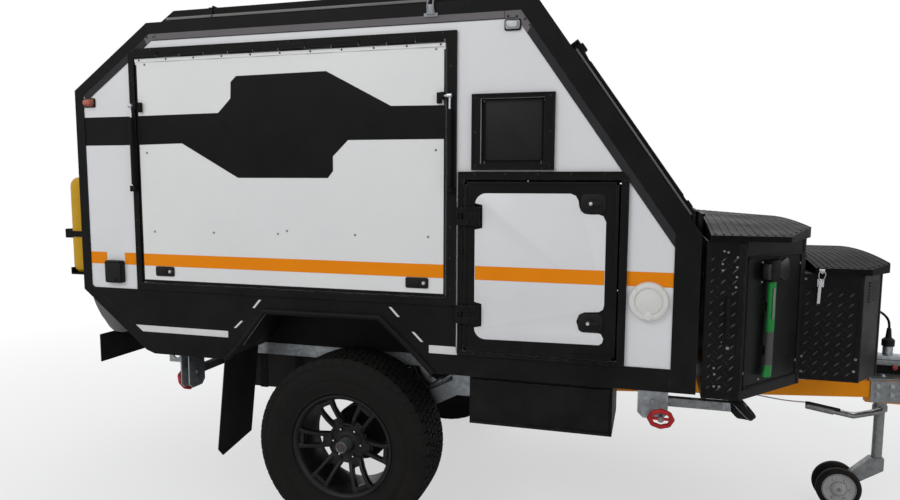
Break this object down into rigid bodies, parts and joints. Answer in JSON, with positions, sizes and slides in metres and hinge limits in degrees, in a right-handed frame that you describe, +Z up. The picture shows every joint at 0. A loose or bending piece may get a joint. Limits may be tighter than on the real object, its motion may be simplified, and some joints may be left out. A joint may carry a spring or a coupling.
{
  "type": "off-road camping trailer",
  "caption": "Hard-shell off-road camping trailer: chamfered panel body with side hatch, door and raised roof lid, front boxes on a braced drawbar, jockey wheel, two wheels.",
  "frame": {"origin": "on the ground, midway between tail and nose, on the centre line", "axes": "+X forward to the coupling, +Y to the left, +Z up"},
  "size_m": [4.27, 1.974, 2.325],
  "materials": {
    "white_panel": "gloss",
    "black_metal": "satin",
    "galvanised": "dull zinc",
    "orange_paint": "gloss",
    "tyre": "matte",
    "black_alloy": "satin black",
    "tread_plate": "black coated tread plate",
    "black_plastic": "moulded",
    "white_plastic": "moulded",
    "yellow_plastic": "moulded",
    "grey_fabric": "coated canvas",
    "red_metal": "gloss",
    "green_steel": "gloss",
    "lamp": "clear",
    "steel": "bright",
    "black_rubber": "matte"
  },
  "bodies": {
    "trailer": {"chassis_frame": "galvanised", "drawbar": "orange_paint", "drawbar_plates": "galvanised", "coupling_head": "galvanised", "hand_brake": "steel", "suspension": "galvanised", "water_tank": "black_plastic", "side_wall_right": "white_panel", "side_wall_left": "white_panel", "front_wall": "white_panel", "rear_wall": "white_panel", "roof_panel": "white_panel", "floor_panel": "black_metal", "edge_rails": "black_metal", "roof_fairing": "black_metal", "skirts": "black_metal", "wheel_houses": "black_metal", "opening_frames": "black_metal", "tall_box": "tread_plate", "small_box": "tread_plate", "axe": "green_steel", "slung_boxes": "black_metal", "mudflaps": "black_rubber", "rear_valance": "black_metal", "rear_bag": "grey_fabric", "jerrycan": "yellow_plastic", "jerrycan_holder": "black_metal", "lamps": "lamp", "water_inlet": "white_plastic", "power_inlet": "black_plastic", "trailer_lead": "black_rubber", "trailer_plug": "black_plastic", "stabiliser_clamps": "galvanised", "stabiliser_handles": "red_metal"},
    "hatch_right": {"side_hatch_right": "white_panel"},
    "strut_tubes_right": {"strut_tubes_right": "black_metal"},
    "strut_rods_right": {"strut_rods_right": "steel"},
    "door_right": {"door_right": "black_metal"},
    "slung_flap_right": {"slung_flap_right": "black_metal"},
    "wheel_right": {"tyre_right": "tyre", "rim_right": "black_alloy"},
    "front_stabiliser_right": {"front_stabiliser_right": "galvanised"},
    "rear_stabiliser_right": {"rear_stabiliser_right": "galvanised"},
    "hatch_left": {"side_hatch_left": "white_panel"},
    "strut_tubes_left": {"strut_tubes_left": "black_metal"},
    "strut_rods_left": {"strut_rods_left": "steel"},
    "door_left": {"door_left": "black_metal"},
    "slung_flap_left": {"slung_flap_left": "black_metal"},
    "wheel_left": {"tyre_left": "tyre", "rim_left": "black_alloy"},
    "front_stabiliser_left": {"front_stabiliser_left": "galvanised"},
    "rear_stabiliser_left": {"rear_stabiliser_left": "galvanised"},
    "front_cover": {"front_cover": "black_metal"},
    "roof_lid": {"roof_lid": "black_metal"},
    "tall_box_lid": {"tall_box_lid": "black_metal"},
    "small_box_lid": {"small_box_lid": "black_metal"},
    "jockey_leg": {"jockey_leg": "steel"},
    "jockey_fork": {"jockey_fork": "galvanised"},
    "jockey_wheels": {"jockey_wheels": "black_rubber"}
  },
  "joints": [
    {"name": "side_hatch_right_lift", "type": "hinge", "parent": "trailer", "child": "hatch_right", "pos_m": [-0.605, -0.9673, 2.104], "axis": [-1, 0, 0], "range_deg": [0, 85]},
    {"name": "strut_right_tilt", "type": "hinge", "parent": "trailer", "child": "strut_tubes_right", "pos_m": [-0.605, -0.978, 1.524], "axis": [1, 0, 0], "range_deg": [0, 22]},
    {"name": "strut_right_stretch", "type": "slide", "parent": "strut_tubes_right", "child": "strut_rods_right", "axis": [0, 0, 1], "range_m": [0, 0.26]},
    {"name": "door_right_swing", "type": "hinge", "parent": "trailer", "child": "door_right", "pos_m": [-0.071, -0.969, 1.228], "axis": [0, 0, -1], "range_deg": [0, 95]},
    {"name": "slung_flap_right_drop", "type": "hinge", "parent": "trailer", "child": "slung_flap_right", "pos_m": [0.26, -0.9473, 0.587], "axis": [1, 0, 0], "range_deg": [0, 90]},
    {"name": "wheel_right_spin", "type": "hinge", "parent": "trailer", "child": "wheel_right", "pos_m": [-0.605, -0.81, 0.4015], "axis": [0, 1, 0], "continuous": true},
    {"name": "front_stabiliser_right_drop", "type": "hinge", "parent": "trailer", "child": "front_stabiliser_right", "pos_m": [0.695, -0.8, 0.7], "axis": [0, 1, 0], "range_deg": [0, 90]},
    {"name": "rear_stabiliser_right_drop", "type": "hinge", "parent": "trailer", "child": "rear_stabiliser_right", "pos_m": [-1.41, -0.842, 0.66], "axis": [-1, 0, 0], "range_deg": [0, 90]},
    {"name": "side_hatch_left_lift", "type": "hinge", "parent": "trailer", "child": "hatch_left", "pos_m": [-0.605, 0.9673, 2.104], "axis": [1, 0, 0], "range_deg": [0, 85]},
    {"name": "strut_left_tilt", "type": "hinge", "parent": "trailer", "child": "strut_tubes_left", "pos_m": [-0.605, 0.978, 1.524], "axis": [-1, 0, 0], "range_deg": [0, 22]},
    {"name": "strut_left_stretch", "type": "slide", "parent": "strut_tubes_left", "child": "strut_rods_left", "axis": [0, 0, 1], "range_m": [0, 0.26]},
    {"name": "door_left_swing", "type": "hinge", "parent": "trailer", "child": "door_left", "pos_m": [-0.071, 0.969, 1.228], "axis": [0, 0, 1], "range_deg": [0, 95]},
    {"name": "slung_flap_left_drop", "type": "hinge", "parent": "trailer", "child": "slung_flap_left", "pos_m": [0.26, 0.9473, 0.587], "axis": [-1, 0, 0], "range_deg": [0, 90]},
    {"name": "wheel_left_spin", "type": "hinge", "parent": "trailer", "child": "wheel_left", "pos_m": [-0.605, 0.81, 0.4015], "axis": [0, 1, 0], "continuous": true},
    {"name": "front_stabiliser_left_drop", "type": "hinge", "parent": "trailer", "child": "front_stabiliser_left", "pos_m": [0.695, 0.8, 0.7], "axis": [0, 1, 0], "range_deg": [0, 90]},
    {"name": "rear_stabiliser_left_drop", "type": "hinge", "parent": "trailer", "child": "rear_stabiliser_left", "pos_m": [-1.41, 0.842, 0.66], "axis": [1, 0, 0], "range_deg": [0, 90]},
    {"name": "front_cover_lift", "type": "hinge", "parent": "trailer", "child": "front_cover", "pos_m": [0.37002, 0, 2.10359], "axis": [0, -1, 0], "range_deg": [0, 75]},
    {"name": "roof_lid_lift", "type": "hinge", "parent": "trailer", "child": "roof_lid", "pos_m": [-1.215, 0, 2.32], "axis": [0, -1, 0], "range_deg": [0, 20]},
    {"name": "tall_box_lid_lift", "type": "hinge", "parent": "trailer", "child": "tall_box_lid", "pos_m": [0.871, 0, 1.4303], "axis": [0, -1, 0], "range_deg": [0, 85]},
    {"name": "small_box_lid_lift", "type": "hinge", "parent": "trailer", "child": "small_box_lid", "pos_m": [1.293, 0, 1.2563], "axis": [0, -1, 0], "range_deg": [0, 80]},
    {"name": "jockey_leg_lift", "type": "slide", "parent": "trailer", "child": "jockey_leg", "axis": [0, 0, 1], "range_m": [0, 0.22]},
    {"name": "jockey_fork_swivel", "type": "hinge", "parent": "jockey_leg", "child": "jockey_fork", "pos_m": [1.74, 0.052, 0.26], "axis": [0, 0, 1], "continuous": true},
    {"name": "jockey_wheels_spin", "type": "hinge", "parent": "jockey_fork", "child": "jockey_wheels", "pos_m": [1.575, 0.052, 0.1], "axis": [0, 1, 0], "continuous": true}
  ],
  "couplings": [
    {"joint": "strut_right_tilt", "follows": "side_hatch_right_lift", "ratio": 0.22816},
    {"joint": "strut_right_stretch", "follows": "side_hatch_right_lift", "m_per_rad": 0.16083},
    {"joint": "strut_left_tilt", "follows": "side_hatch_left_lift", "ratio": 0.22816},
    {"joint": "strut_left_stretch", "follows": "side_hatch_left_lift", "m_per_rad": 0.16083}
  ]
}
